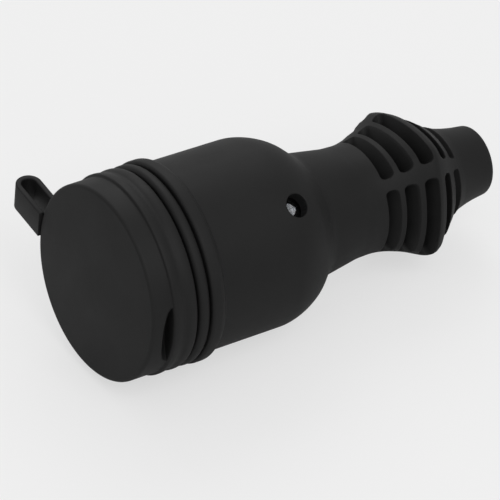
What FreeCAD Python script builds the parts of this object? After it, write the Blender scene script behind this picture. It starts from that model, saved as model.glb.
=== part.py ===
import FreeCAD, Part
import Sketcher
import math
import os
import re

# Trailing socket for a 16 A earthed plug: a moulded rubber body with a slotted kink boot,
# a rubber lid on a looped strap, and a hard insert that carries the contacts inside.
# Own frame of the socket: origin at the centre of the lid's outer face, +X along the axis
# to the cable end, +Z through the retaining screw. The whole then lies on its side.

doc = FreeCAD.newDocument("TrailingSocket")
Vector = FreeCAD.Vector

# Driving dimensions, in millimetres and degrees.
dimensions = {
    # lid
    "lid_radius": 26.8,
    "lid_disc": 2.6,
    "lid_seat": 10.2,
    "lid_edge_bevel": 0.7,
    "lid_rib_start": 10,
    "lid_rib_width": 1.8,
    "lid_rib_rise": 0.7,
    "lid_waist": 13.5,
    "lid_bead_start": 14.6,
    "lid_bead_width": 1.8,
    "lid_depth": 17.2,
    "lid_clearance": 0.5,
    "lid_hollow": 21.8,
    "lid_web": 1.6,
    "spigot_outer": 18.8,
    "spigot_wall": 1.5,
    "spigot_depth": 1.8,
    "scoop_radius": 15,
    "scoop_depth": 3.2,
    "scoop_lip": 5.2,
    # strap and the ring that holds it
    "parting_gap": 0.6,
    "ring_width": 3.2,
    "ring_rise": 2.8,
    "ring_gap": 0.4,
    "strap_width": 8,
    "strap_thick": 1.5,
    "strap_reach": 15.9,
    "strap_bend": 2.9,
    "strap_clocking": 127,
    "strap_over_lid": 2.4,
    # rubber body
    "mouth_clearance": 0.4,
    "mouth_radius": 24.7,
    "mouth_draft": 0.6,
    "bead_width": 4.4,
    "bead_radius": 27.9,
    "body_radius": 26.3,
    "wall": 4.7,
    "dome_start": 49.1,
    "dome_radius": 18.2,
    "dome_sweep": 41.5,
    "neck_start": 66.1,
    "neck_radius": 17.7,
    "crease_bevel": 1.8,
    "waist_place": 80.4,
    "waist_radius": 15.6,
    "crest_place": 100.3,
    "crest_radius": 21.2,
    "crest_flat": 18.2,
    "boot_end": 111.4,
    "boot_end_radius": 13.1,
    "tube_end": 124.2,
    "tube_radius": 9.9,
    "rim_bevel": 0.9,
    "cable_radius": 5.8,
    "bore_start": 88.4,
    "throat_radius": 9.2,
    # slots of the kink boot
    "slot_first": 85.2,
    "slot_pitch": 5.3,
    "slot_width": 3.5,
    "slot_floor": 1.7,
    "slot_core": 11.2,
    "slot_rear_width": 2.9,
    "web_angle": 11,
    # hard insert
    "insert_radius": 22,
    "insert_clearance": 0.2,
    "recess_radius": 19.75,
    "recess_depth": 17.5,
    "floor_thick": 3,
    "pin_pitch": 19,
    "pin_hole_radius": 2.6,
    "guide_height": 2.1,
    "guide_width": 5.2,
    "plate_thick": 3.5,
    "plate_gap": 0.3,
    "shell_wall": 1.5,
    "shell_reach": 13,
    "spine_width": 9.2,
    "spine_inset": 2.8,
    "spine_depth": 5,
    "spine_end": 56.8,
    "tail_width": 20,
    "tail_thick": 3.8,
    "tail_gap": 4.8,
    "tail_end": 61.8,
    # contacts and terminals
    "sleeve_radius": 3.5,
    "sleeve_bore": 2.4,
    "sleeve_length": 14.3,
    "sleeve_gap": 0.3,
    "sleeve_slit": 0.8,
    "terminal_side": 7,
    "terminal_length": 9,
    "terminal_bore": 1.7,
    "terminal_plate": 1,
    "strip_width": 6,
    "strip_thick": 0.8,
    "strip_place": 19.2,
    "clip_bulge": 2.2,
    "earth_place": 11.5,
    # fasteners
    "screw_place": 52.6,
    "screw_hole": 3.3,
    "screw_radius": 2,
    "screw_head": 2.95,
    "screw_head_height": 2.4,
    "screw_length": 13,
    "nut_side": 7,
    "nut_thick": 2.6,
    "nut_place": 11,
    "small_radius": 1.5,
    "small_head": 2.6,
    "small_head_height": 1.9,
    "clamp_thick": 3,
    "clamp_width": 4.4,
    "clamp_screw_pitch": 15,
    "thread_clearance": 0.05,
    "part_gap": 0.1,
    # how far the screw leans forward from straight up, in degrees, and the flat that the rubber
    # gets under its own weight
    "lying_turn": 40,
    "flat_depth": 0.15,
}

sheet = doc.addObject("Spreadsheet::Sheet", "Sizes")
for row, (alias, number) in enumerate(dimensions.items(), start=1):
    sheet.set("A%d" % row, alias)
    sheet.set("B%d" % row, str(number))
    sheet.setAlias("B%d" % row, alias)
doc.recompute()

# Places along the axis that several pieces share.
MOUTH = "(lid_seat + mouth_clearance)"
RING = "(lid_depth + parting_gap)"
BEAD = "(lid_depth + parting_gap + ring_width + ring_gap)"
RIM = "(lid_seat + 2 * mouth_clearance)"
FLOOR = "(lid_seat + 2 * mouth_clearance + recess_depth)"
BACK = "(lid_seat + 2 * mouth_clearance + recess_depth + floor_thick)"
LEVEL = "(lid_depth + parting_gap + ring_width + ring_gap + bead_width - 1.3)"
PLATE_END = "(lid_seat + 2 * mouth_clearance + recess_depth + floor_thick + plate_thick)"
PLATE = "(body_radius - wall - plate_gap)"
SPINE_TOP = "(body_radius - wall - plate_gap - spine_inset)"
TERMINAL = "(lid_seat + 2 * mouth_clearance + recess_depth + floor_thick + sleeve_length)"


def value(expression):
    return float(sheet.evalExpression(str(expression)))


def bound(expression):
    return re.sub(r"\b(%s)\b" % "|".join(dimensions), r"Sizes.\1", str(expression))


def bind(item, prop, expression):
    item.setExpression(prop, bound(expression))


def newBody(label):
    body = doc.addObject("PartDesign::Body", label)
    body.Label = label
    return body


def newSketch(body, name, plane, offset="0"):
    sketch = body.newObject("Sketcher::SketchObject", name)
    base = [f for f in body.Origin.OriginFeatures if f.Role == plane + "_Plane"][0]
    sketch.AttachmentSupport = (base, "")
    sketch.MapMode = "FlatFace"
    if offset != "0":
        bind(sketch, "AttachmentOffset.Base.z", offset)
    return sketch


def place(sketch, edge, end, across, along):
    # Ties one point of the sketch to its two coordinates.
    for kind, axis, expression in (("DistanceX", -2, across), ("DistanceY", -1, along)):
        if expression == "0":
            sketch.addConstraint(Sketcher.Constraint("PointOnObject", edge, end, axis))
            continue
        number = value(expression)
        index = sketch.addConstraint(Sketcher.Constraint(kind, -1, 1, edge, end, number))
        sketch.setExpression("Constraints[%d]" % index, bound(expression))


def arcBetween(start, finish, radius, side):
    # The short arc from start to finish. Side is 1 where it bulges to the left of the way.
    chord = finish - start
    middle = (start + finish) * 0.5
    left = Vector(-chord.y, chord.x, 0).normalize()
    depth = math.sqrt(radius ** 2 - (chord.Length / 2) ** 2)
    centre = middle - left * (side * depth)
    first, last = (finish, start) if side > 0 else (start, finish)
    angles = [math.atan2(p.y - centre.y, p.x - centre.x) for p in (first, last)]
    circle = Part.Circle(centre, Vector(0, 0, 1), radius)
    return Part.ArcOfCircle(circle, angles[0], angles[1])


def outline(sketch, corners):
    # A closed outline. A corner is (across, along), or (across, along, radius, side) where
    # the edge that arrives at it is an arc.
    points = [Vector(value(corner[0]), value(corner[1]), 0) for corner in corners]
    ends = []
    for index, corner in enumerate(corners):
        start, finish = points[index - 1], points[index]
        if len(corner) == 2:
            edge = sketch.addGeometry(Part.LineSegment(start, finish), False)
            ends.append((edge, 1, 2))
            continue
        arc = arcBetween(start, finish, value(corner[2]), corner[3])
        edge = sketch.addGeometry(arc, False)
        ends.append((edge, 2, 1) if corner[3] > 0 else (edge, 1, 2))
    for index, corner in enumerate(corners):
        edge, _, finish = ends[index]
        following, start, _ = ends[(index + 1) % len(corners)]
        sketch.addConstraint(Sketcher.Constraint("Coincident", edge, finish, following, start))
        place(sketch, edge, finish, corner[0], corner[1])
        if len(corner) > 2:
            number = value(corner[2])
            turn = sketch.addConstraint(Sketcher.Constraint("Radius", edge, number))
            sketch.setExpression("Constraints[%d]" % turn, bound(corner[2]))


def circleAt(sketch, across, along, radius):
    centre = Vector(value(across), value(along), 0)
    shape = Part.Circle(centre, Vector(0, 0, 1), value(radius))
    edge = sketch.addGeometry(shape, False)
    place(sketch, edge, 3, across, along)
    index = sketch.addConstraint(Sketcher.Constraint("Radius", edge, value(radius)))
    sketch.setExpression("Constraints[%d]" % index, bound(radius))


def rectangle(sketch, left, right, low, high):
    outline(sketch, [(left, low), (right, low), (right, high), (left, high)])


def volume(body):
    doc.recompute()
    return body.Shape.Volume if body.Tip else 0.0


def feature(body, kind, name, sketch, **settings):
    # Adds one feature and makes sure that it adds or takes away material, as its kind says.
    before = volume(body)
    item = body.newObject("PartDesign::" + kind, name)
    item.Profile = sketch
    for prop, setting in settings.items():
        if isinstance(setting, str) and prop in ("Length", "Length2", "Angle"):
            bind(item, prop, setting)
        else:
            setattr(item, prop, setting)
    sketch.Visibility = False
    change = volume(body) - before
    cuts = kind in ("Pocket", "Groove")
    if (cuts and change > -1e-3) or (not cuts and change < 1e-3):
        raise RuntimeError("%s changes %s by %.4f" % (name, body.Label, change))
    return item


def revolve(body, name, corners, kind="Revolution", angle="360", middle=False, plane="XZ"):
    sketch = newSketch(body, name + "Outline", plane)
    outline(sketch, corners)
    axis = (sketch, ["H_Axis"])
    return feature(body, kind, name, sketch, ReferenceAxis=axis, Angle=angle, Midplane=middle)


def breakEdges(body, name, size, places):
    # Bevels the circular edges at the given places, each a distance along X and a radius.
    base = body.Tip
    wanted = [(value(along), value(out)) for along, out in places]
    names = []
    for index, edge in enumerate(base.Shape.Edges, start=1):
        if not isinstance(edge.Curve, Part.Circle):
            continue
        along, out = edge.Curve.Center.x, edge.Curve.Radius
        onAxis = math.hypot(edge.Curve.Center.y, edge.Curve.Center.z) < 1e-3
        if onAxis and any(abs(along - a) + abs(out - r) < 1e-3 for a, r in wanted):
            names.append("Edge%d" % index)
    if len(names) < len(places):
        raise RuntimeError("%s finds %d edges" % (name, len(names)))
    item = body.newObject("PartDesign::Chamfer", name)
    item.Base = (base, names)
    bind(item, "Size", size)
    doc.recompute()
    return item


def polar(body, name, original, copies, axisSketch):
    item = body.newObject("PartDesign::PolarPattern", name)
    item.Originals = [original]
    item.Axis = (axisSketch, ["H_Axis"])
    item.Angle = 360
    item.Occurrences = copies
    body.Tip = item
    doc.recompute()
    return item


# Outer parts

def makeLid():
    body = newBody("lid")
    crest = "lid_radius + lid_rib_rise"
    ribEnd = "lid_rib_start + lid_rib_width"
    beadEnd = "lid_bead_start + lid_bead_width"
    inner = "mouth_radius + lid_clearance"
    revolve(body, "LidTurned", [
        ("0", "0"),
        ("0", "lid_radius"),
        ("lid_rib_start", "lid_radius"),
        ("lid_rib_start + 0.3", crest),
        (ribEnd, crest),
        ("lid_waist", "lid_radius + 0.35 * lid_rib_rise"),
        ("lid_bead_start", crest),
        (beadEnd, crest),
        ("lid_depth", "lid_radius + 0.1 * lid_rib_rise"),
        ("lid_depth", inner),
        ("lid_seat", inner),
        ("lid_seat", "spigot_outer"),
        ("lid_seat + spigot_depth", "spigot_outer"),
        ("lid_seat + spigot_depth", "spigot_outer - spigot_wall"),
        ("lid_seat - lid_web", "spigot_outer - spigot_wall"),
        ("lid_seat - lid_web", "lid_hollow"),
        ("lid_disc", "lid_hollow"),
        ("lid_disc", "0"),
    ])
    breakEdges(body, "FaceEdge", "lid_edge_bevel", [("0", "lid_radius")])
    crests = [(ribEnd, crest), ("lid_waist", "lid_radius + 0.35 * lid_rib_rise")]
    crests += [("lid_bead_start", crest), (beadEnd, crest)]
    breakEdges(body, "SoftRings", "0.4 * lid_rib_rise", crests)
    breakEdges(body, "RibFoot", "0.15 * lid_rib_rise", [("lid_rib_start", "lid_radius")])
    # Finger scoop between the face and the first ring, opposite the strap.
    scoop = newSketch(body, "ScoopOutline", "YZ", "scoop_lip")
    reach = "(lid_radius - scoop_depth + scoop_radius)"
    turn = "(strap_clocking - 180)"
    circleAt(scoop, "%s * sin(%s)" % (reach, turn), "%s * cos(%s)" % (reach, turn), "scoop_radius")
    depth = "lid_rib_start - scoop_lip"
    feature(body, "Pocket", "Scoop", scoop, Length=depth, Reversed=True)
    return body


def makeLidRing():
    body = newBody("lid_ring")
    bore = "mouth_radius + mouth_clearance / 2"
    top = "mouth_radius + ring_rise"
    revolve(body, "RingTurned", [
        (RING, bore),
        (RING, top + " - 0.9"),
        (RING + " + 0.7", top),
        (RING + " + ring_width - 0.8", top),
        (RING + " + ring_width", top + " - 0.7"),
        (RING + " + ring_width", bore),
    ])
    crests = [(RING + " + 0.7", top), (RING + " + ring_width - 0.8", top)]
    breakEdges(body, "RingCrest", "0.3", crests)
    return body


def makeStrap():
    # The band leaves the lid's edge, loops back outside it and ends on the lid ring.
    body = newBody("lid_strap")
    sketch = newSketch(body, "StrapOutline", "XZ")
    half = "strap_thick / 2"
    bendIn = "strap_bend - strap_thick / 2"
    bendOut = "strap_bend + strap_thick / 2"
    front = "0.5 + strap_thick / 2"
    back = "0.5 + strap_thick / 2 + 2 * strap_bend"
    crown = "0.5 + strap_thick / 2 + strap_bend"
    far = "lid_radius + strap_reach - strap_bend - strap_thick / 2"
    low = "lid_radius + lid_rib_rise + strap_over_lid - strap_thick / 2"
    seat = "mouth_radius + ring_rise"
    outline(sketch, [
        (front + " - " + half, "lid_radius + part_gap"),
        (front + " - " + half, far),
        (crown, far + " + " + bendOut, bendOut, 1),
        (back + " + " + half, far, bendOut, 1),
        (back + " + " + half, low + " + 2 * strap_thick"),
        (back + " + 1.5 * strap_thick", low + " + strap_thick", "strap_thick", -1),
        (RING, low + " + strap_thick"),
        (RING + " + ring_width - 0.8", seat + " + 0.5"),
        (RING + " + ring_width - 0.8", seat),
        (RING + " + 0.7", seat),
        (RING + " - 0.7", low),
        (back + " + strap_thick / 2", low),
        (back + " - " + half, low + " + strap_thick", "strap_thick", 1),
        (back + " - " + half, far),
        (crown, far + " + " + bendIn, bendIn, -1),
        (front + " + " + half, far, bendIn, -1),
        (front + " + " + half, "lid_radius + part_gap"),
    ])
    feature(body, "Pad", "StrapBand", sketch, Length="strap_width", Midplane=True)
    return body


def bootSection(body, name, station, corner, flat):
    # Four arcs that meet in soft corners at the webs. Flat is their distance at mid side.
    sketch = newSketch(body, name, "YZ", station)
    lean = "((%s)^2 - (%s)^2) / (2 * ((%s) - (%s) * sqrt(0.5)))" % (corner, flat, flat, corner)
    sweep = "(%s) + %s" % (flat, lean)
    minus = "-(%s)" % corner
    outline(sketch, [
        ("0", corner, sweep, -1),
        (minus, "0", sweep, -1),
        ("0", minus, sweep, -1),
        (corner, "0", sweep, -1),
    ])
    return sketch


def makeRubberBody():
    body = newBody("rubber_body")
    domeOut = "dome_radius * sin(dome_sweep)"
    domeDrop = "dome_radius * (1 - cos(dome_sweep))"
    revolve(body, "Housing", [
        (MOUTH, "0"),
        (MOUTH, "mouth_radius - mouth_draft"),
        (BEAD, "mouth_radius"),
        (BEAD, "bead_radius - 0.7"),
        (BEAD + " + 0.7", "bead_radius"),
        (BEAD + " + bead_width - 1.3", "bead_radius"),
        (BEAD + " + bead_width - 0.3", "bead_radius - 1.2"),
        (BEAD + " + bead_width + 0.4", "body_radius"),
        ("dome_start", "body_radius"),
        ("dome_start + " + domeOut, "body_radius - " + domeDrop, "dome_radius", 1),
        ("neck_start", "neck_radius"),
        ("waist_place", "waist_radius"),
        ("waist_place", "0"),
    ])
    crests = [(BEAD + " + 0.7", "bead_radius"), (BEAD + " + bead_width - 1.3", "bead_radius")]
    breakEdges(body, "BeadCrest", "0.4", crests)
    breakEdges(body, "BeadFoot", "0.4", [(BEAD + " + bead_width + 0.4", "body_radius")])
    breakEdges(body, "MouthEdge", "0.6", [(MOUTH, "mouth_radius - mouth_draft")])
    breakEdges(body, "NeckCrease", "crease_bevel", [("neck_start", "neck_radius")])

    # Kink boot: its section goes from round at the waist to squarish at the crest and back.
    rise = "(crest_place - waist_place)"
    fall = "(boot_end - crest_place)"
    up = "(crest_radius - waist_radius)"
    down = "(crest_radius - boot_end_radius)"
    square = "(1 - crest_flat / crest_radius)"
    shape = [
        # place, corner radius, share of the full squareness
        ("waist_place", "waist_radius", "0"),
        ("waist_place + 0.35 * " + rise, "waist_radius + 0.14 * " + up, "0.35"),
        ("waist_place + 0.68 * " + rise, "waist_radius + 0.50 * " + up, "0.75"),
        ("crest_place - 0.07 * " + rise, "crest_radius - 0.03 * " + up, "1"),
        ("crest_place + 0.10 * " + fall, "crest_radius - 0.04 * " + down, "1"),
        ("crest_place + 0.35 * " + fall, "crest_radius - 0.38 * " + down, "0.8"),
        ("crest_place + 0.66 * " + fall, "crest_radius - 0.86 * " + down, "0.4"),
        ("boot_end", "boot_end_radius", "0"),
    ]
    sections = []
    for index, (station, corner, share) in enumerate(shape):
        flat = "(%s) * (1 - %s * %s)" % (corner, share, square)
        sections.append(bootSection(body, "BootSection%d" % index, station, corner, flat))
    before = volume(body)
    loft = body.newObject("PartDesign::AdditiveLoft", "Boot")
    loft.Profile = sections[0]
    loft.Sections = sections[1:]
    if volume(body) < before + 1:
        raise RuntimeError("the boot adds nothing")
    revolve(body, "CableTube", [
        ("boot_end", "0"),
        ("boot_end", "boot_end_radius"),
        ("boot_end + 0.35 * (tube_end - boot_end)", "tube_radius + 0.33 * (boot_end_radius - tube_radius)"),
        ("tube_end", "tube_radius"),
        ("tube_end", "0"),
    ])
    breakEdges(body, "TubeRim", "rim_bevel", [("tube_end", "tube_radius")])

    # Slots: rows of four, each from web to web, with a steep front and a leaning rear.
    for index in range(5):
        behind = index > 2
        start = "slot_first + %d * slot_pitch + %s" % (index, "0.3" if behind else "0")
        wide = "slot_rear_width" if behind else "slot_width"
        top = "crest_radius + 2"
        sketch = newSketch(body, "SlotOutline%d" % index, "XY")
        outline(sketch, [
            (start, "slot_core"),
            (start, top),
            (start + " + " + wide + " + 0.6", top),
            (start + " + " + wide, "slot_core + 0.6 * (waist_radius - slot_core)"),
            (start + " + slot_floor", "slot_core"),
        ])
        sketch.AttachmentOffset = FreeCAD.Placement(Vector(), FreeCAD.Rotation(Vector(1, 0, 0), 45))
        cut = feature(body, "Groove", "Slot%d" % index, sketch, ReferenceAxis=(sketch, ["H_Axis"]),
                      Angle="90 - web_angle", Midplane=True)
        polar(body, "SlotRow%d" % index, cut, 4, sketch)

    # Room for the insert, the cord grip and the cable.
    inRadius = "(dome_radius - wall)"
    turnOut = "dome_start + %s * sin(dome_sweep)" % inRadius
    turnDown = "body_radius - wall - %s * (1 - cos(dome_sweep))" % inRadius
    room = "insert_radius + insert_clearance"
    revolve(body, "Cavity", [
        ("lid_disc", "0"),
        ("lid_disc", room),
        (BACK + " + 0.3", room),
        (BACK + " + 0.3", "body_radius - wall"),
        ("dome_start", "body_radius - wall"),
        (turnOut, turnDown, inRadius, 1),
        ("neck_start - 5", "neck_radius - 4"),
        ("neck_start", "throat_radius + 2"),
        ("bore_start - 6", "throat_radius"),
        ("bore_start", "cable_radius"),
        ("tube_end + 1", "cable_radius"),
        ("tube_end + 1", "0"),
    ], kind="Groove")
    hole = newSketch(body, "ScrewHoleOutline", "XY", "body_radius / 2")
    circleAt(hole, "screw_place", "0", "screw_hole")
    feature(body, "Pocket", "ScrewHole", hole, Length="body_radius", Reversed=True)
    # Small flat under the bead and under the end of the straight part, where it lies.
    flat = newSketch(body, "FlatOutline", "XY")
    lean = "((bead_radius - body_radius) / (dome_start - " + LEVEL + "))"
    outline(flat, [
        (BEAD + " - 1", "bead_radius - flat_depth + (" + LEVEL + " - " + BEAD + " + 1) * " + lean),
        (BEAD + " - 1", "bead_radius + 4"),
        ("dome_start + 8", "bead_radius + 4"),
        ("dome_start + 8", "body_radius - flat_depth - 8 * " + lean),
    ])
    down = FreeCAD.Rotation(Vector(1, 0, 0), -90 - value("lying_turn"))
    flat.AttachmentOffset = FreeCAD.Placement(Vector(), down)
    feature(body, "Pocket", "RestFlat", flat, Length="body_radius", Midplane=True)
    return body


# Insert

def makeInsertFront():
    body = newBody("socket_insert")
    revolve(body, "Cup", [
        (RIM, "recess_radius"),
        (RIM, "insert_radius"),
        (BACK, "insert_radius"),
        (BACK, "0"),
        (FLOOR, "0"),
        (FLOOR, "recess_radius"),
    ])
    breakEdges(body, "CupLip", "0.5", [(RIM, "recess_radius")])
    guides = newSketch(body, "GuideOutline", "YZ", RIM + " + 2")
    inner = "recess_radius - guide_height"
    outer = "(recess_radius + insert_radius) / 2"
    half = "guide_width / 2"
    for sign in ("", "-"):
        near, far = sign + "(" + inner + ")", sign + "(" + outer + ")"
        low, high = (near, far) if sign == "" else (far, near)
        rectangle(guides, low, high, "-" + half, half)
    feature(body, "Pad", "GuideRibs", guides, Length="recess_depth - 1.5")
    slots = newSketch(body, "ClipSlotOutline", "YZ", BACK)
    top = "strip_place + 1.4"
    bottom = "strip_place - strip_thick - clip_bulge"
    side = "strip_width / 2 + 0.3"
    rectangle(slots, "-(" + side + ")", side, bottom, top)
    rectangle(slots, "-(" + side + ")", side, "-(" + top + ")", "-(" + bottom + ")")
    feature(body, "Pocket", "ClipSlots", slots, Length="recess_depth + floor_thick - 2.5")
    holes = newSketch(body, "PinHoleOutline", "YZ", BACK)
    circleAt(holes, "pin_pitch / 2", "0", "pin_hole_radius")
    circleAt(holes, "-pin_pitch / 2", "0", "pin_hole_radius")
    circleAt(holes, "0", "0", "small_radius + 0.2")
    feature(body, "Pocket", "PinHoles", holes, Length="floor_thick + 1")
    sink = newSketch(body, "ScrewSinkOutline", "YZ", FLOOR + " + small_head_height")
    circleAt(sink, "0", "0", "small_head + 0.3")
    feature(body, "Pocket", "ScrewSink", sink, Length="small_head_height + 1")
    return body


def makeInsertRear():
    body = newBody("terminal_carrier")
    revolve(body, "Plate", [
        (BACK, "0"),
        (BACK, PLATE),
        (PLATE_END, PLATE),
        (PLATE_END, "0"),
    ])
    shellTop = PLATE + " - 0.4"
    revolve(body, "HalfShell", [
        (PLATE_END, shellTop + " - shell_wall"),
        (PLATE_END, shellTop),
        (PLATE_END + " + shell_reach", shellTop),
        (PLATE_END + " + shell_reach", shellTop + " - shell_wall"),
    ], angle="200", middle=True)
    spine = newSketch(body, "SpineOutline", "YZ", PLATE_END)
    rectangle(spine, "-spine_width / 2", "spine_width / 2", "-spine_depth", SPINE_TOP)
    feature(body, "Pad", "Spine", spine, Length="spine_end - " + PLATE_END)
    tail = newSketch(body, "TailOutline", "YZ", "tail_end")
    high = "tail_gap + tail_thick"
    rectangle(tail, "-tail_width / 2", "tail_width / 2", "tail_gap", high)
    feature(body, "Pad", "Tail", tail, Length="tail_end - spine_end + 4", Reversed=True)

    groove = newSketch(body, "StripGrooveOutline", "YZ", BACK + " + strip_thick + part_gap")
    side = "strip_width / 2 + 0.3"
    rectangle(groove, "-(" + side + ")", side, "-" + PLATE, PLATE)
    feature(body, "Pocket", "StripGroove", groove, Length="strip_thick + 1")
    holes = newSketch(body, "ChamberOutline", "YZ", PLATE_END)
    circleAt(holes, "pin_pitch / 2", "0", "sleeve_radius + part_gap")
    circleAt(holes, "-pin_pitch / 2", "0", "sleeve_radius + part_gap")
    window = "terminal_side / 2 + part_gap"
    rectangle(holes, "-(" + window + ")", window, "-(earth_place + " + window + ")",
              "-(earth_place - (" + window + "))")
    feature(body, "Pocket", "Chambers", holes, Length="plate_thick + 1")
    bore = newSketch(body, "InsertScrewHole", "YZ", PLATE_END + " + 8")
    circleAt(bore, "0", "0", "small_radius + thread_clearance")
    feature(body, "Pocket", "InsertScrewBore", bore, Length="plate_thick + 10")

    down = newSketch(body, "RetainingHole", "XY", SPINE_TOP + " + 1")
    circleAt(down, "screw_place", "0", "screw_radius + 0.15")
    feature(body, "Pocket", "RetainingBore", down, Length="screw_length + 3")
    room = newSketch(body, "NutRoomOutline", "XZ", "-(spine_width / 2 + 1)")
    half = "(nut_side / 2 + part_gap)"
    rectangle(room, "screw_place - " + half, "screw_place + " + half,
              "nut_place - part_gap", "nut_place + nut_thick + part_gap")
    feature(body, "Pocket", "NutRoom", room, Length="spine_width / 2 + 1 + " + half,
            Reversed=True)
    grips = newSketch(body, "ClampHoles", "XY", high + " + 1")
    middle = "tail_end - 0.3 - clamp_width / 2"
    for sign in ("", "-"):
        circleAt(grips, middle, sign + "clamp_screw_pitch / 2", "small_radius + thread_clearance")
    feature(body, "Pocket", "ClampBores", grips, Length="tail_thick + 2")
    return body


def makeContact(label):
    # Own frame: X along the pin. A slit sleeve grips the pin, a block behind it the wire.
    body = newBody(label)
    front = BACK + " + sleeve_gap"
    revolve(body, "Sleeve", [
        (front, "sleeve_bore"),
        (front, "sleeve_radius"),
        (TERMINAL, "sleeve_radius"),
        (TERMINAL, "0"),
        (TERMINAL + " - 1", "0"),
        (TERMINAL + " - 1", "sleeve_bore"),
    ])
    slit = newSketch(body, "SlitOutline", "XY", "sleeve_radius + 1")
    rectangle(slit, BACK, BACK + " + 0.6 * sleeve_length", "-sleeve_slit / 2", "sleeve_slit / 2")
    feature(body, "Pocket", "Slits", slit, Length="2 * sleeve_radius + 2")
    half = "terminal_side / 2"
    block = newSketch(body, "BlockOutline", "YZ", TERMINAL)
    rectangle(block, "-" + half, half, "-" + half, half)
    feature(body, "Pad", "Block", block, Length="terminal_length")
    wire = newSketch(body, "WireOutline", "YZ", TERMINAL + " + terminal_length + 1")
    circleAt(wire, "0", "0", "terminal_bore")
    feature(body, "Pocket", "WireHole", wire, Length="terminal_length")
    thread = newSketch(body, "ThreadOutline", "XY", "-(" + half + " + 1)")
    circleAt(thread, TERMINAL + " + terminal_length / 2", "0", "small_radius + thread_clearance")
    feature(body, "Pocket", "ScrewThread", thread, Length=half + " + 1", Reversed=True)
    return body


def makeEarthTerminal():
    # Own frame: X along the axis, at the block's height. It stands on the earth strip.
    body = newBody("earth_terminal")
    half = "terminal_side / 2"
    front = BACK + " + strip_thick + 0.15"
    block = newSketch(body, "BlockOutline", "YZ", front)
    rectangle(block, "-" + half, half, "-" + half, half)
    feature(body, "Pad", "Block", block, Length="terminal_length + plate_thick")
    finish = front + " + terminal_length + plate_thick"
    wire = newSketch(body, "WireOutline", "YZ", finish + " + 1")
    circleAt(wire, "0", "0", "terminal_bore")
    feature(body, "Pocket", "WireHole", wire, Length="terminal_length")
    thread = newSketch(body, "ThreadOutline", "XY", "-(" + half + " + 1)")
    circleAt(thread, finish + " - terminal_length / 2", "0", "small_radius + thread_clearance")
    feature(body, "Pocket", "ScrewThread", thread, Length=half + " + 1", Reversed=True)
    return body


def makeEarthBracket():
    # One bent strip: two sprung clips along the recess, joined behind its floor.
    body = newBody("earth_bracket")
    sketch = newSketch(body, "StripOutline", "XZ")
    inner = "strip_place - strip_thick"
    tip = RIM + " + 4"
    bulge = RIM + " + 7"
    settle = RIM + " + 11"
    behind = BACK + " + strip_thick"
    upper = [
        (behind, "strip_place"),
        (settle, "strip_place"),
        (bulge, "strip_place - clip_bulge"),
        (tip, "strip_place - 0.4"),
        (tip, inner + " - 0.4"),
        (bulge, inner + " - clip_bulge"),
        (settle, inner),
        (BACK, inner),
    ]
    lower = [(along, "-(" + out + ")") for along, out in reversed(upper)]
    outline(sketch, upper + lower)
    feature(body, "Pad", "Strip", sketch, Length="strip_width", Midplane=True)
    hole = newSketch(body, "StripHoleOutline", "YZ", behind + " + 1")
    circleAt(hole, "0", "0", "small_radius + 0.2")
    feature(body, "Pocket", "StripHole", hole, Length="strip_thick + 2")
    return body


# Fasteners: own frame with the head's underside at the origin and the shank along -X.

def makeScrew(label, radius, head, headHeight, length, recess):
    body = newBody(label)
    dome = "0.35 * (%s)" % headHeight
    revolve(body, "ScrewTurned", [
        ("-(" + length + ")", "0"),
        ("-(" + length + ")", "0.7 * (" + radius + ")"),
        ("-(" + length + ") + 0.5 * (" + radius + ")", radius),
        ("0", radius),
        ("0", head),
        (headHeight + " - " + dome, head),
        (headHeight, "0.55 * (" + head + ")"),
        (headHeight, "0"),
    ])
    cross = newSketch(body, "CrossOutline", "YZ", headHeight)
    arm = "%s * (%s)" % (recess, head)
    thin = "0.3 * " + arm
    quarter = [(arm, thin), (thin, thin), (thin, arm)]
    corners = []
    for across, along in ((1, 1), (-1, 1), (-1, -1), (1, -1)):
        points = quarter if across * along > 0 else quarter[::-1]
        for right, up in points:
            corners.append((right if across > 0 else "-(%s)" % right,
                            up if along > 0 else "-(%s)" % up))
    outline(cross, corners)
    feature(body, "Pocket", "CrossRecess", cross, Length="0.55 * (%s)" % headHeight)
    return body


def makePlate(label, side, thick, hole):
    # A square plate with a round hole, its upper face at the origin and its body along -X.
    body = newBody(label)
    sketch = newSketch(body, "PlateOutline", "YZ")
    rectangle(sketch, "-(" + side + ") / 2", "(" + side + ") / 2",
              "-(" + side + ") / 2", "(" + side + ") / 2")
    circleAt(sketch, "0", "0", hole)
    feature(body, "Pad", "PlatePad", sketch, Length=thick, Reversed=True)
    return body


def makeCordClamp():
    # Bridge over the cord: a bar with a hollowed middle, its upper face at the origin.
    body = newBody("cord_clamp")
    bar = newSketch(body, "BarOutline", "YZ")
    edge = "tail_width / 2"
    hollow = "cable_radius"
    outline(bar, [
        ("-" + edge, "0"),
        ("-" + edge, "-clamp_thick"),
        (edge, "-clamp_thick"),
        (edge, "0"),
        ("0.8 * " + hollow, "0"),
        ("-0.8 * " + hollow, "0", "1.3 * " + hollow, 1),
    ])
    feature(body, "Pad", "Bar", bar, Length="clamp_width", Midplane=True)
    holes = newSketch(body, "ScrewOutline", "XY", "1")
    for sign in ("", "-"):
        circleAt(holes, "0", sign + "clamp_screw_pitch / 2", "small_radius + 0.2")
    feature(body, "Pocket", "ScrewHoles", holes, Length="clamp_thick + 2")
    return body


def turned(axis, angle):
    return FreeCAD.Rotation(axis, angle)


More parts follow.
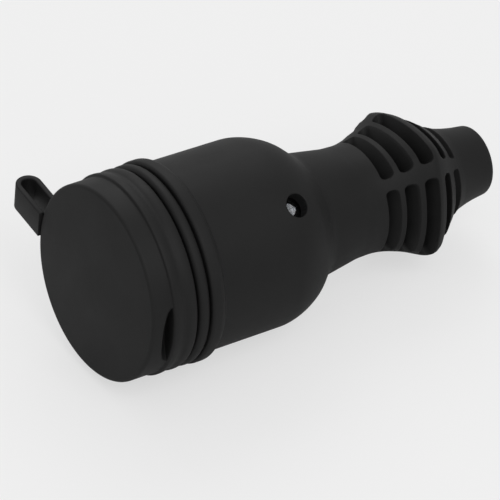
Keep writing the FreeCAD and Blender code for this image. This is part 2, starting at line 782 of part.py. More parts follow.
def buildAll():
    # Each piece with its place in the socket's own frame.
    alongX, alongY, alongZ = Vector(1, 0, 0), Vector(0, 1, 0), Vector(0, 0, 1)
    here = FreeCAD.Placement()
    strapTurn = -value("strap_clocking")
    pieces = [(makeRubberBody(), here), (makeLid(), here), (makeLidRing(), here)]
    pieces.append((makeStrap(), FreeCAD.Placement(Vector(), turned(alongX, strapTurn))))
    pieces += [(makeInsertFront(), here), (makeInsertRear(), here), (makeEarthBracket(), here)]

    outward = turned(alongY, -90)
    top = Vector(value("screw_place"), 0, value(SPINE_TOP))
    screw = makeScrew("retaining_screw", "screw_radius", "screw_head", "screw_head_height",
                      "screw_length", "0.62")
    pieces.append((screw, FreeCAD.Placement(top, outward)))
    nut = makePlate("retaining_nut", "nut_side", "nut_thick", "screw_radius + thread_clearance")
    nutTop = Vector(value("screw_place"), 0, value("nut_place + nut_thick"))
    pieces.append((nut, FreeCAD.Placement(nutTop, outward)))

    # Terminals, each with a pressure plate and a screw driven from the open side.
    inward = turned(alongY, 90)
    half = value("terminal_side / 2 + part_gap")
    plate = value("terminal_plate")
    pinOut = value("pin_pitch / 2")
    contactScrew = value(TERMINAL + " + terminal_length / 2")
    earthScrew = value(BACK + " + strip_thick + 0.15 + plate_thick + terminal_length / 2")
    for label, across, height, along in (
        ("line", pinOut, 0, contactScrew),
        ("neutral", -pinOut, 0, contactScrew),
        ("earth", 0, -value("earth_place"), earthScrew),
    ):
        spot = FreeCAD.Placement(Vector(0, across, height), FreeCAD.Rotation())
        if label == "earth":
            pieces.append((makeEarthTerminal(), spot))
        else:
            pieces.append((makeContact(label + "_contact"), spot))
        plateTop = Vector(along, across, height - half - plate)
        pressure = makePlate(label + "_pressure_plate", "0.9 * terminal_side",
                             "terminal_plate", "small_radius + 0.2")
        pieces.append((pressure, FreeCAD.Placement(plateTop, inward)))
        driven = makeScrew(label + "_terminal_screw", "small_radius", "small_head",
                           "small_head_height", "terminal_plate + terminal_side / 2 - 0.5", "0.6")
        pieces.append((driven, FreeCAD.Placement(plateTop, inward)))

    # Cord clamp under the tail, and the screw that joins the two halves of the insert.
    middle = value("tail_end - 0.3 - clamp_width / 2")
    clampTop = -value("tail_gap")
    pieces.append((makeCordClamp(), FreeCAD.Placement(Vector(middle, 0, clampTop), FreeCAD.Rotation())))
    for side, label in ((1, "clamp_screw_left"), (-1, "clamp_screw_right")):
        grip = makeScrew(label, "small_radius", "small_head", "small_head_height",
                         "clamp_thick + 2 * tail_gap + 0.7 * tail_thick", "0.6")
        seat = Vector(middle, side * value("clamp_screw_pitch / 2"), clampTop - value("clamp_thick"))
        pieces.append((grip, FreeCAD.Placement(seat, inward)))
    joining = makeScrew("insert_screw", "small_radius", "small_head", "small_head_height",
                        "floor_thick + plate_thick + 2", "0.6")
    front = Vector(value(FLOOR + " + small_head_height"), 0, 0)
    pieces.append((joining, FreeCAD.Placement(front, turned(alongZ, 180))))
    return pieces


def layDown(pieces):
    # The socket rests on its bead and on the end of the body's straight part, the boot well
    # clear of the floor. The screw looks up and forward, the strap backward.
    reach = value("dome_start - " + LEVEL)
    slope = math.degrees(math.atan2(value("bead_radius - body_radius"), reach))
    lying = turned(Vector(0, 1, 0), slope).multiply(turned(Vector(1, 0, 0), value("lying_turn")))
    for body, spot in pieces:
        body.Placement = FreeCAD.Placement(Vector(), lying).multiply(spot)
    doc.recompute()
    whole = Part.makeCompound([body.Shape for body, _ in pieces]).optimalBoundingBox(False, False)
    shift = -Vector(whole.Center.x, whole.Center.y, whole.ZMin)
    rest = FreeCAD.Placement(shift, lying)
    for body, spot in pieces:
        body.Placement = rest.multiply(spot)
    doc.recompute()
    return rest


def checkAll(pieces):
    for item in doc.Objects:
        if "Invalid" in item.State or "Error" in item.State:
            raise RuntimeError("%s failed: %s" % (item.Label, item.State))
    for body, _ in pieces:
        shape = body.Shape
        if shape.isNull() or not shape.isValid() or len(shape.Solids) != 1:
            raise RuntimeError("%s is not one valid solid" % body.Label)


def main():
    pieces = buildAll()
    rest = layDown(pieces)
    checkAll(pieces)
    os.makedirs("parts", exist_ok=True)
    for body, _ in pieces:
        body.Shape.exportStep("parts/%s.step" % body.Label)
        print("%-24s %10.1f mm3" % (body.Label, body.Shape.Volume))
    print("rest placement", rest)


main()
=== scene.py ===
# Looks of a rubber trailing socket: black moulded rubber, and a round lid held by a strap.
# Shapes are given in mm and made in metres.
import math
import bpy
from mathutils import Matrix, Vector


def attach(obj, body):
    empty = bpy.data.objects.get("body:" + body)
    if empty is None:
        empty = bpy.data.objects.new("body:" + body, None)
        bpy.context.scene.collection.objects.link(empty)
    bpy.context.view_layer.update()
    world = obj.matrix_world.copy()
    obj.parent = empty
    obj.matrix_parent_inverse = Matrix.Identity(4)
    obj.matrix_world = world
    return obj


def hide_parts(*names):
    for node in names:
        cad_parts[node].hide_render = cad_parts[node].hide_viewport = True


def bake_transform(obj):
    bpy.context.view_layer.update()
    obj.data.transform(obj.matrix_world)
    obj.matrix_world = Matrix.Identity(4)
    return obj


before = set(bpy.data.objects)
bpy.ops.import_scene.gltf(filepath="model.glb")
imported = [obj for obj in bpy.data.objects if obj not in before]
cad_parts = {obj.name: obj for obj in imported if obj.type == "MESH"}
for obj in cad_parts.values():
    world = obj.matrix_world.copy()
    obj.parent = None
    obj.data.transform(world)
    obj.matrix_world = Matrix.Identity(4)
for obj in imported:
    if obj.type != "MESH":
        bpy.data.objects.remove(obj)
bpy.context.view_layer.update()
mm = 0.001
# How near two vertices are that become one, and how near a vertex is to a place it is looked for
near = {"merge": 0.000005, "match": 0.00001}

# How the socket lies: the middle of the lid's face, and the two turns that lay it down
lying = {
    "lidFace": (-61.4141, -7.4754, 29.2816),
    "pitch": 3.72131,
    "roll": 40,
    "strapTurn": 127,
}
rest = (Matrix.Translation(Vector(lying["lidFace"]) * mm)
        @ Matrix.Rotation(math.radians(lying["pitch"]), 4, "Y")
        @ Matrix.Rotation(math.radians(lying["roll"]), 4, "X"))


def deselectAll():
    if bpy.context.mode != "OBJECT":
        bpy.ops.object.mode_set(mode="OBJECT")
    bpy.ops.object.select_all(action="DESELECT")


def makeActive(piece):
    deselectAll()
    piece.select_set(True)
    bpy.context.view_layer.objects.active = piece


def selectVertices(piece, wanted):
    # Edit mode, with only the vertices selected that the test says yes to
    bpy.ops.object.mode_set(mode="EDIT")
    bpy.ops.mesh.select_mode(type="VERT")
    bpy.ops.mesh.select_all(action="DESELECT")
    bpy.ops.object.mode_set(mode="OBJECT")
    for vertex in piece.data.vertices:
        vertex.select = wanted(vertex.co)
    bpy.ops.object.mode_set(mode="EDIT")


def selectEdges(piece, wanted):
    # Edit mode, with only the edges selected whose two ends pass the test
    bpy.ops.object.mode_set(mode="EDIT")
    bpy.ops.mesh.select_mode(type="EDGE")
    bpy.ops.mesh.select_all(action="DESELECT")
    bpy.ops.object.mode_set(mode="OBJECT")
    for edge in piece.data.edges:
        ends = [piece.data.vertices[index].co for index in edge.vertices]
        edge.select = wanted(*ends)
    bpy.ops.object.mode_set(mode="EDIT")


# Rounds of a profile's corners: over this size in mm they get more steps
rounds = {"large": 1.2, "largeSteps": 10, "smallSteps": 5}


def drawProfile(name, corners, closed):
    # A point, made from a plane, is pulled from corner to corner: (along, out, round) in mm
    deselectAll()
    bpy.ops.mesh.primitive_plane_add(size=mm, location=(0, 0, 0))
    piece = bpy.context.object
    piece.name = name
    bpy.ops.object.mode_set(mode="EDIT")
    bpy.ops.mesh.select_mode(type="VERT")
    bpy.ops.mesh.select_all(action="SELECT")
    bpy.ops.mesh.merge(type="CENTER")
    at = Vector((corners[0][0], 0, corners[0][1])) * mm
    bpy.ops.transform.translate(value=at)
    path = corners[1:] + (corners[:1] if closed else [])
    for along, out, _ in path:
        following = Vector((along, 0, out)) * mm
        bpy.ops.mesh.extrude_vertices_move(TRANSFORM_OT_translate={"value": following - at})
        at = following
    bpy.ops.mesh.select_all(action="SELECT")
    bpy.ops.mesh.remove_doubles(threshold=near["match"])
    for size in sorted({corner[2] for corner in corners if corner[2]}):
        places = [Vector((corner[0], 0, corner[1])) * mm for corner in corners if corner[2] == size]
        selectVertices(piece, lambda co: any((co - spot).length < near["match"] for spot in places))
        segments = rounds["largeSteps"] if size > rounds["large"] else rounds["smallSteps"]
        bpy.ops.mesh.bevel(offset=size * mm, segments=segments, affect="VERTICES")
    return piece


def finishPiece(piece, angle=40):
    # Normals outward, smooth faces, and the piece laid down with its place in its mesh
    if bpy.context.mode != "EDIT_MESH":
        bpy.ops.object.mode_set(mode="EDIT")
    bpy.ops.mesh.select_all(action="SELECT")
    bpy.ops.mesh.remove_doubles(threshold=near["merge"])
    bpy.ops.mesh.normals_make_consistent(inside=False)
    makeActive(piece)
    piece.matrix_world = rest @ piece.matrix_world
    bpy.ops.object.transform_apply(location=True, rotation=True, scale=True)
    bpy.ops.object.shade_smooth_by_angle(angle=math.radians(angle))


def spinProfile(piece, steps):
    bpy.ops.object.mode_set(mode="EDIT")
    bpy.ops.mesh.select_mode(type="VERT")
    bpy.ops.mesh.select_all(action="SELECT")
    bpy.ops.mesh.spin(steps=steps, angle=2 * math.pi, center=(0, 0, 0), axis=(1, 0, 0))
    bpy.ops.mesh.select_all(action="SELECT")
    bpy.ops.mesh.remove_doubles(threshold=near["merge"])
    bpy.ops.mesh.normals_make_consistent(inside=False)
    bpy.ops.object.mode_set(mode="OBJECT")


def applyAll(piece):
    makeActive(piece)
    for modifier in list(piece.modifiers):
        bpy.ops.object.modifier_apply(modifier=modifier.name)


def cutAway(piece, cutter, name):
    cut = piece.modifiers.new(name, "BOOLEAN")
    cut.operation, cut.object, cut.solver = "DIFFERENCE", cutter, "EXACT"
    bpy.context.view_layer.update()
    applyAll(piece)
    bpy.data.objects.remove(cutter)


# Materials

def fromHex(code):
    parts = [int(code[place:place + 2], 16) / 255 for place in (1, 3, 5)]
    return tuple(p / 12.92 if p <= 0.04045 else ((p + 0.055) / 1.055) ** 2.4 for p in parts) + (1,)


def addNode(tree, kind, settings=None, **links):
    # Settings are sockets by name or number, or properties. A link feeds a socket from an output.
    node = tree.nodes.new(kind)
    for key, setting in (settings or {}).items():
        if isinstance(key, int) or key in node.inputs:
            node.inputs[key].default_value = setting
        else:
            setattr(node, key, setting)
    for key, source in links.items():
        name = key.replace("_", " ")
        target = node.inputs[int(name[5:])] if name.startswith("input") else node.inputs[name]
        tree.links.new(source, target)
    return node


def newMaterial(name):
    material = bpy.data.materials.new(name)
    material.use_nodes = True
    material.node_tree.nodes.clear()
    return material, material.node_tree


def makeRubber(name, look):
    # Vulcanised natural rubber, moulded in a steel tool: near black, satin, with a faint grey bloom
    material, tree = newMaterial(name)
    place = addNode(tree, "ShaderNodeTexCoord").outputs["Object"]
    bloom = addNode(tree, "ShaderNodeTexNoise",
                    {"Scale": 1 / (look["bloomSize"] * mm), "Detail": 4, "Roughness": 0.6},
                    Vector=place)
    grain = addNode(tree, "ShaderNodeTexNoise",
                    {"Scale": 1 / (look["grainSize"] * mm), "Detail": 2, "Roughness": 0.55},
                    Vector=place)
    spread = addNode(tree, "ShaderNodeMapRange", {"From Min": 0.3, "From Max": 0.7},
                     Value=bloom.outputs["Fac"])
    colour = addNode(tree, "ShaderNodeMix",
                     {"data_type": "RGBA", 6: fromHex(look["deep"]), 7: fromHex(look["pale"])},
                     input0=spread.outputs["Result"])
    gloss = addNode(tree, "ShaderNodeMapRange",
                    {"From Min": 0.3, "From Max": 0.7, "To Min": look["gloss"][0],
                     "To Max": look["gloss"][1]},
                    Value=bloom.outputs["Fac"])
    edge = addNode(tree, "ShaderNodeBevel", {"samples": 6, "Radius": look["edgeRound"] * mm})
    bump = addNode(tree, "ShaderNodeBump", {"Strength": look["grainDepth"], "Distance": 0.05 * mm},
                   Height=grain.outputs["Fac"], Normal=edge.outputs["Normal"])
    shader = addNode(tree, "ShaderNodeBsdfPrincipled",
                     {"IOR": 1.52, "Specular IOR Level": look["shine"]},
                     Base_Color=colour.outputs[2], Roughness=gloss.outputs["Result"],
                     Normal=bump.outputs["Normal"])
    addNode(tree, "ShaderNodeOutputMaterial", None, Surface=shader.outputs["BSDF"])
    return material


def makeMetal(name, look):
    # Metal with fine turning or drawing marks: a bright, slightly broken reflection
    material, tree = newMaterial(name)
    place = addNode(tree, "ShaderNodeTexCoord").outputs["Object"]
    marks = addNode(tree, "ShaderNodeTexNoise", {"Scale": 1 / (look["markSize"] * mm), "Detail": 3},
                    Vector=place)
    spread = addNode(tree, "ShaderNodeMapRange", {"From Min": 0.35, "From Max": 0.65},
                     Value=marks.outputs["Fac"])
    colour = addNode(tree, "ShaderNodeMix",
                     {"data_type": "RGBA", 6: fromHex(look["deep"]), 7: fromHex(look["pale"])},
                     input0=spread.outputs["Result"])
    gloss = addNode(tree, "ShaderNodeMapRange",
                    {"To Min": look["gloss"][0], "To Max": look["gloss"][1]},
                    Value=marks.outputs["Fac"])
    bump = addNode(tree, "ShaderNodeBump", {"Strength": 0.25, "Distance": 0.02 * mm},
                   Height=marks.outputs["Fac"])
    shader = addNode(tree, "ShaderNodeBsdfPrincipled", {"Metallic": 1.0},
                     Base_Color=colour.outputs[2], Roughness=gloss.outputs["Result"],
                     Normal=bump.outputs["Normal"])
    addNode(tree, "ShaderNodeOutputMaterial", None, Surface=shader.outputs["BSDF"])
    return material


def makePhenolic(name, look):
    # Compression-moulded phenolic: hard, dark, with a low even shine and a trace of filler
    material, tree = newMaterial(name)
    place = addNode(tree, "ShaderNodeTexCoord").outputs["Object"]
    filler = addNode(tree, "ShaderNodeTexNoise",
                     {"Scale": 1 / (look["fillerSize"] * mm), "Detail": 3}, Vector=place)
    spread = addNode(tree, "ShaderNodeMapRange", {"From Min": 0.35, "From Max": 0.65},
                     Value=filler.outputs["Fac"])
    colour = addNode(tree, "ShaderNodeMix",
                     {"data_type": "RGBA", 6: fromHex(look["deep"]), 7: fromHex(look["pale"])},
                     input0=spread.outputs["Result"])
    bump = addNode(tree, "ShaderNodeBump", {"Strength": 0.2, "Distance": 0.02 * mm},
                   Height=filler.outputs["Fac"])
    shader = addNode(tree, "ShaderNodeBsdfPrincipled", {"IOR": 1.6, "Roughness": look["gloss"]},
                     Base_Color=colour.outputs[2], Normal=bump.outputs["Normal"])
    addNode(tree, "ShaderNodeOutputMaterial", None, Surface=shader.outputs["BSDF"])
    return material


# A satin black that soaks up most of the light
blackRubber = makeRubber("satinBlackRubber", {
    "deep": "#131313", "pale": "#191919", "bloomSize": 14, "grainSize": 0.5, "grainDepth": 0.35,
    "gloss": (0.56, 0.66), "shine": 0.24, "edgeRound": 0.45})
# A cold grey glint in the side hole
zincSteel = makeMetal("zincPlatedSteel", {
    "deep": "#b3b5b8", "pale": "#d5d7da", "markSize": 0.6, "gloss": (0.22, 0.36)})
# A warm yellow shine inside the pin holes
brightBrass = makeMetal("drawnBrass", {
    "deep": "#b08d4a", "pale": "#cfab62", "markSize": 0.8, "gloss": (0.24, 0.38)})
# A warmer grey than the steel, on the earth clips
nickelStrip = makeMetal("nickelPlatedStrip", {
    "deep": "#b5b0a4", "pale": "#d2cec4", "markSize": 0.8, "gloss": (0.2, 0.32)})
# A harder, shinier black than the rubber round it
darkPhenolic = makePhenolic("blackPhenolic", {
    "deep": "#1d1d1f", "pale": "#28282a", "fillerSize": 0.7, "gloss": 0.35})


def dress(piece, material):
    piece.data.materials.clear()
    piece.data.materials.append(material)


# Camera, floor and light

view = {"azimuth": 33.118, "elevation": 39.971, "roll": 1.417, "distance": 800,
        "aside": 5.671, "above": 15.308, "height": 29.817, "lens": 213.503}


def placeCamera():
    turn, tilt, roll = (math.radians(view[key]) for key in ("azimuth", "elevation", "roll"))
    ahead = Vector((math.sin(turn) * math.cos(tilt), math.cos(turn) * math.cos(tilt), -math.sin(tilt)))
    level = Vector((math.cos(turn), -math.sin(turn), 0))
    upright = level.cross(ahead)
    right = math.cos(roll) * level + math.sin(roll) * upright
    up = -math.sin(roll) * level + math.cos(roll) * upright
    spot = Vector((0, 0, view["height"])) - view["distance"] * ahead
    spot -= view["aside"] * right + view["above"] * up
    deselectAll()
    bpy.ops.object.camera_add()
    camera = bpy.context.object
    camera.matrix_world = Matrix.Translation(spot * mm) @ Matrix((right, up, -ahead)).transposed().to_4x4()
    camera.data.lens = view["lens"]
    camera.data.sensor_width = 36
    camera.data.clip_start, camera.data.clip_end = 0.01, 20
    bpy.context.scene.camera = camera


placeCamera()
print("camera placed")

studio = {"floor": "#dedede", "floorLift": 0.6, "world": "#ffffff", "worldStrength": 0.5,
          "key": {"spot": (0.05, -0.85, 1.05), "size": 0.7, "power": 4.8},
          "fill": {"spot": (-0.6, -0.5, 0.9), "size": 0.9, "power": 1.7},
          "back": {"spot": (0.35, 0.8, 0.9), "size": 0.8, "power": 4.0}}


def makeStudio():
    # Matt pale paint, lifted for the camera so that it reads as white and keeps the shadow
    material, tree = newMaterial("paleFloorPaint")
    path = addNode(tree, "ShaderNodeLightPath")
    diffuse = addNode(tree, "ShaderNodeBsdfDiffuse", {"Color": fromHex(studio["floor"])})
    glow = addNode(tree, "ShaderNodeEmission", {"Color": (1, 1, 1, 1), "Strength": 1.0})
    share = addNode(tree, "ShaderNodeMath", {"operation": "MULTIPLY", 1: studio["floorLift"]},
                    input0=path.outputs["Is Camera Ray"])
    mix = addNode(tree, "ShaderNodeMixShader", None, input0=share.outputs[0], input1=diffuse.outputs[0],
                  input2=glow.outputs[0])
    addNode(tree, "ShaderNodeOutputMaterial", None, Surface=mix.outputs[0])
    deselectAll()
    bpy.ops.mesh.primitive_plane_add(size=6, location=(0, 0, 0))
    floor = bpy.context.object
    floor.name = "studioFloor"
    dress(floor, material)

    world = bpy.data.worlds.new("studioWorld")
    bpy.context.scene.world = world
    world.use_nodes = True
    tree = world.node_tree
    tree.nodes.clear()
    path = addNode(tree, "ShaderNodeLightPath")
    either = addNode(tree, "ShaderNodeMath", {"operation": "MAXIMUM"}, input0=path.outputs["Is Camera Ray"],
                     input1=path.outputs["Is Transmission Ray"])
    plain = addNode(tree, "ShaderNodeBackground", {"Color": fromHex(studio["world"]),
                                                    "Strength": studio["worldStrength"]})
    white = addNode(tree, "ShaderNodeBackground", {"Color": (1, 1, 1, 1), "Strength": 1.0})
    mix = addNode(tree, "ShaderNodeMixShader", None, input0=either.outputs[0], input1=plain.outputs[0],
                  input2=white.outputs[0])
    addNode(tree, "ShaderNodeOutputWorld", None, Surface=mix.outputs[0])

    for name in ("key", "fill", "back"):
        lamp = studio[name]
        deselectAll()
        bpy.ops.object.light_add(type="AREA", location=lamp["spot"])
        light = bpy.context.object
        light.name = name + "Softbox"
        light.data.size = lamp["size"]
        light.data.energy = lamp["power"]
        toward = Vector((0, 0, 0.03)) - Vector(lamp["spot"])
        light.rotation_euler = toward.to_track_quat("-Z", "Y").to_euler()


makeStudio()
bpy.context.scene.view_settings.view_transform = "Standard"
print("studio lit")

# Lid: flat face, straight edge with a finger scoop, two soft rings, a skirt over the mouth
# and a spigot in it
lidShape = {
    "profile": [
        (0, 0, 0), (0, 26.8, 1.0), (10, 26.8, 0.25), (10.3, 27.5, 0.3), (11.8, 27.5, 0.6),
        (13.5, 27.0, 0.9), (14.6, 27.5, 0.6), (16.4, 27.5, 0.7), (17.2, 26.9, 0.3),
        (17.2, 25.2, 0.3), (10.2, 25.2, 0.4), (10.2, 18.8, 0.4), (12.0, 18.8, 0.5),
        (12.0, 17.3, 0.5), (8.6, 17.3, 0.3), (8.6, 21.8, 0.5), (2.6, 21.8, 0.8), (2.6, 0, 0)],
    "steps": 144,
    "scoop": {"radius": 18, "reach": 40.7, "along": 10.0, "half": 5.0},
    # The closed lid sits a little askew: its face dips toward the screw's side
    "dip": {"angle": 5.0, "behind": 3.6, "clock": 175, "reach": 26.8},
}


def makeLid():
    piece = drawProfile("lidCap", lidShape["profile"], False)
    spinProfile(piece, lidShape["steps"])
    dip = lidShape["dip"]
    clock = math.radians(dip["clock"])
    hinge = Vector((0, dip["reach"] * math.sin(clock), dip["reach"] * math.cos(clock))) * mm
    selectVertices(piece, lambda co: co.x < dip["behind"] * mm)
    bpy.ops.transform.rotate(value=math.radians(-dip["angle"]), orient_axis="Y",
                             center_override=hinge)
    bpy.ops.object.mode_set(mode="OBJECT")

    scoop = lidShape["scoop"]
    turn = math.radians(lying["strapTurn"] - 180)
    aside, over = scoop["reach"] * math.sin(turn), scoop["reach"] * math.cos(turn)
    middle = Vector((scoop["along"], aside, over)) * mm
    deselectAll()
    bpy.ops.mesh.primitive_uv_sphere_add(segments=96, ring_count=48, radius=scoop["radius"] * mm)
    cutter = bpy.context.object
    bpy.ops.object.mode_set(mode="EDIT")
    bpy.ops.mesh.select_all(action="SELECT")
    bpy.ops.transform.resize(value=(1, 1, scoop["half"] / scoop["radius"]))
    bpy.ops.transform.rotate(value=math.radians(90), orient_axis="Y", center_override=(0, 0, 0))
    bpy.ops.transform.translate(value=middle)
    bpy.ops.mesh.bisect(plane_co=(scoop["along"] * mm, 0, 0), plane_no=(1, 0, 0), use_fill=True,
                        clear_outer=True)
    bpy.ops.mesh.select_all(action="SELECT")
    bpy.ops.mesh.normals_make_consistent(inside=False)
    bpy.ops.object.mode_set(mode="OBJECT")
    cutAway(piece, cutter, "scoop")
    finishPiece(piece, 32)
    dress(piece, blackRubber)
    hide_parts("lid")
    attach(piece, "lid_body")


makeLid()
print("lid made")

# Collar ring on the mouth, that the strap is moulded to
ringShape = {
    "profile": [(17.8, 24.9, 0.2), (17.8, 26.6, 0.4), (18.5, 27.5, 0.5), (20.2, 27.5, 0.6),
                (21.0, 26.8, 0.4), (21.0, 24.9, 0.2)],
    "steps": 144,
}


def makeRing():
    piece = drawProfile("collarRing", ringShape["profile"], True)
    spinProfile(piece, ringShape["steps"])
    finishPiece(piece, 45)
    dress(piece, blackRubber)
    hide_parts("lid_ring")
    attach(piece, "socket_body")


makeRing()
print("collar ring made")

# Strap: a flat band that leaves the lid's edge, loops back outside it and ends on the collar ring
strapShape = {
    "profile": [
        (0.5, 26.9, 0), (0.5, 42.7, 3.6), (7.8, 42.7, 3.6), (7.8, 30.65, 1.5), (17.9, 30.65, 0.8),
        (20.2, 28.0, 0.4), (20.2, 27.5, 0), (18.5, 27.5, 0), (17.1, 29.15, 0.5),
        (6.3, 29.15, 1.4), (6.3, 41.2, 2.1), (2.0, 41.2, 2.1), (2.0, 26.9, 0)],
    "width": 8, "edgeRound": 0.3,
    # Where it bends along the way, and how far out that is
    "bend": {"from": 17.5, "to": 2.0, "out": 29},
}


def makeStrap():
    piece = drawProfile("strapBand", strapShape["profile"], True)
    bpy.ops.mesh.select_all(action="SELECT")
    bpy.ops.mesh.edge_face_add()
    bpy.ops.transform.translate(value=(0, -strapShape["width"] / 2 * mm, 0))
    bpy.ops.mesh.extrude_region_move(TRANSFORM_OT_translate={"value": (0, strapShape["width"] * mm, 0)})
    half = strapShape["width"] / 2 * mm
    selectEdges(piece, lambda a, b: abs(a.y - b.y) < near["merge"] and abs(abs(a.y) - half) < near["merge"])
    bpy.ops.mesh.bevel(offset=strapShape["edgeRound"] * mm, segments=3, affect="EDGES")
    bpy.ops.object.mode_set(mode="OBJECT")
    piece.matrix_world = Matrix.Rotation(math.radians(-lying["strapTurn"]), 4, "X")
    finishPiece(piece, 40)
    dress(piece, blackRubber)
    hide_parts("lid_strap")
    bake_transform(piece)


makeStrap()
print("strap made")

# Housing: mouth, bead, straight part, round shoulder and neck, then the kink boot and the cable tube
housingShape = {
    "outside": [
        (10.6, 24.1, 0.5), (21.4, 24.7, 0.2), (21.4, 27.9, 0.9), (24.9, 27.9, 0.9), (26.0, 26.3, 0.5),
        (56.4, 26.3, 7.0), (65.6, 17.7, 1.6), (80.4, 15.3, 3.5), (87.0, 16.3, 2.5), (93.4, 19.0, 2.2),
        (99.2, 22.7, 2.0), (103.0, 20.3, 1.5), (107.8, 15.2, 2.2), (111.6, 12.3, 1.8), (117.5, 10.7, 2.6),
        (124.2, 9.9, 1.4)],
    "inside": [
        (124.2, 5.8, 0.5), (88.4, 5.8, 1.1), (82.4, 9.2, 1.1), (66.1, 11.2, 1.1), (61.1, 13.7, 1.1),
        (56.0, 21.6, 3.0), (31.8, 21.6, 0.3), (31.8, 22.2, 0), (10.6, 22.2, 0.3)],
    "steps": 144,
    # Squareness of the boot along the axis, 1 where a side is flattest, and how flat that is
    "square": [(80.4, 0), (87.0, 0.35), (93.4, 0.75), (98.0, 1), (101.0, 1), (104.5, 0.8),
               (108, 0.4), (111.6, 0)],
    "flatness": 0.142,
    # Radians by which a corner of the square is softened
    "corner": {"wide": 0.09, "back": 0.03},
    "hole": {"along": 52.6, "radius": 3.3, "height": 26},
}
slotShape = {
    "starts": (85.0, 90.3, 95.7, 102.2, 107.9), "widths": (3.4, 3.4, 3.7, 2.8, 2.3), "core": 11.4,
    "turn": 78, "webTurn": 7.5, "steps": 52, "lip": 0.5, "lean": 1.3, "top": 25,
    # At its ends a slot narrows to a share of its width, and its floor rises by a share of its radius
    "endRound": 1.5, "endShare": 0.4, "endRise": 0.2, "floorReach": 1.2, "outFor": 18,
    # The sides of the boot are flattened only this far out from the slots' floor
    "fadeFrom": 0.3, "fadeOver": 2.5,
}


def squareShare(along):
    stops = housingShape["square"]
    for (a, low), (b, high) in zip(stops, stops[1:]):
        if a <= along <= b:
            return low + (high - low) * (along - a) / (b - a)
    return 0


def flattenSides(piece):
    # Each quarter of the boot becomes a flatter arc between two soft corners
    for vertex in piece.data.vertices:
        co = vertex.co / mm
        out = math.hypot(co.y, co.z)
        share = squareShare(co.x)
        above = out - slotShape["core"] - slotShape["fadeFrom"]
        share *= min(1, max(0, above / slotShape["fadeOver"]))
        if not share:
            continue
        corner, flat = out, out * (1 - share * housingShape["flatness"])
        lean = (corner ** 2 - flat ** 2) / (2 * (corner - flat * math.sqrt(2)))
        arc = flat - lean * math.sqrt(2)
        turn = (math.atan2(co.z, co.y) + math.radians(slotShape["webTurn"])) % (math.pi / 2)
        turn = min(turn, math.pi / 2 - turn)
        turn = math.hypot(turn, housingShape["corner"]["wide"]) - housingShape["corner"]["back"]
        both = math.sin(turn) + math.cos(turn)
        grown = lean * both + math.sqrt(lean ** 2 * both ** 2 - 2 * lean ** 2 + arc ** 2)
        vertex.co.y *= grown / out
        vertex.co.z *= grown / out


def outerRadius(along):
    stops = housingShape["outside"]
    for (a, low, _), (b, high, _) in zip(stops, stops[1:]):
        if a < b and a <= along <= b:
            return low + (high - low) * (along - a) / (b - a)


def roundEnds(cutter, middle):
    # Towards both ends of a slot its sides draw together and its floor rises
    for vertex in cutter.data.vertices:
        turned = abs(math.degrees(math.atan2(vertex.co.y, vertex.co.z)))
        left = math.radians(max(0, min(turned, slotShape["turn"] - turned))) * slotShape["outFor"]
        if left >= slotShape["endRound"]:
            continue
        arc = math.sqrt(1 - (1 - left / slotShape["endRound"]) ** 2)
        share = slotShape["endShare"] + (1 - slotShape["endShare"]) * arc
        vertex.co.x = middle * mm + (vertex.co.x - middle * mm) * share
        floor = (slotShape["core"] + slotShape["floorReach"]) * mm
        if math.hypot(vertex.co.y, vertex.co.z) < floor:
            rise = 1 + slotShape["endRise"] - slotShape["endRise"] * share
            vertex.co.y *= rise
            vertex.co.z *= rise


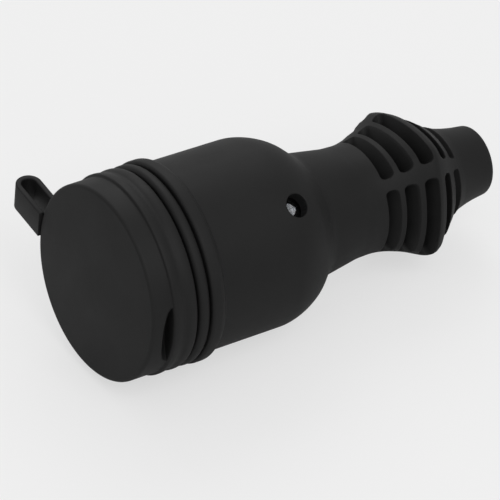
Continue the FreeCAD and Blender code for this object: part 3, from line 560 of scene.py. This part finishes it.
def makeSlotCutter():
    cutters = []
    core, lip, top = slotShape["core"], slotShape["lip"], slotShape["top"]
    for start, width in zip(slotShape["starts"], slotShape["widths"]):
        end = start + width
        front, back = outerRadius(start), outerRadius(end)
        profile = [(start, core, 0.5), (start, front - lip, 0.4), (start - lip, front + lip, 0),
                   (start - lip, top, 0), (end + lip, top, 0), (end + lip, back + lip, 0),
                   (end, back - lip, 0.4), (start + slotShape["lean"], core, 0.6)]
        cutter = drawProfile("slotCutter", profile, True)
        bpy.ops.mesh.select_all(action="SELECT")
        bpy.ops.mesh.edge_face_add()
        bpy.ops.mesh.spin(steps=slotShape["steps"], angle=math.radians(slotShape["turn"]), center=(0, 0, 0),
                          axis=(1, 0, 0))
        bpy.ops.mesh.select_all(action="SELECT")
        bpy.ops.mesh.remove_doubles(threshold=near["merge"])
        bpy.ops.mesh.normals_make_consistent(inside=False)
        bpy.ops.object.mode_set(mode="OBJECT")
        roundEnds(cutter, start + width / 2)
        for quarter in range(4):
            makeActive(cutter)
            bpy.ops.object.duplicate()
            copy = bpy.context.object
            first = quarter * 90 + (90 - slotShape["turn"]) / 2 - slotShape["webTurn"]
            copy.matrix_world = Matrix.Rotation(math.radians(first), 4, "X")
            bpy.ops.object.transform_apply(location=False, rotation=True, scale=False)
            cutters.append(copy)
        bpy.data.objects.remove(cutter)
    deselectAll()
    for cutter in cutters:
        cutter.select_set(True)
    bpy.context.view_layer.objects.active = cutters[0]
    bpy.ops.object.join()
    return bpy.context.object


def makeHousing():
    piece = drawProfile("rubberHousing", housingShape["outside"] + housingShape["inside"], True)
    spinProfile(piece, housingShape["steps"])
    cutAway(piece, makeSlotCutter(), "slots")
    flattenSides(piece)
    deselectAll()
    hole = housingShape["hole"]
    bpy.ops.mesh.primitive_cylinder_add(vertices=64, radius=hole["radius"] * mm, depth=hole["height"] * mm,
                                        location=(hole["along"] * mm, 0, hole["height"] * mm))
    cutAway(piece, bpy.context.object, "screwHole")
    finishPiece(piece, 35)
    for vertex in piece.data.vertices:
        vertex.co.z = max(vertex.co.z, 0)  # the rubber lies flat where it touches
    dress(piece, blackRubber)
    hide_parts("rubber_body")
    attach(piece, "socket_body")


makeHousing()
print("housing made")

# What stays as the frame gives it takes its finish here
finishes = {
    darkPhenolic: ["socket_insert", "terminal_carrier", "cord_clamp"],
    zincSteel: ["retaining_screw", "retaining_nut", "clamp_screw_left", "clamp_screw_right",
                "insert_screw", "line_terminal_screw", "neutral_terminal_screw",
                "earth_terminal_screw", "line_pressure_plate", "neutral_pressure_plate",
                "earth_pressure_plate"],
    brightBrass: ["line_contact", "neutral_contact", "earth_terminal"],
    nickelStrip: ["earth_bracket"],
}
for material, nodes in finishes.items():
    for node in nodes:
        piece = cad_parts[node]
        for place in piece.material_slots:
            place.material = material
print("finishes set")
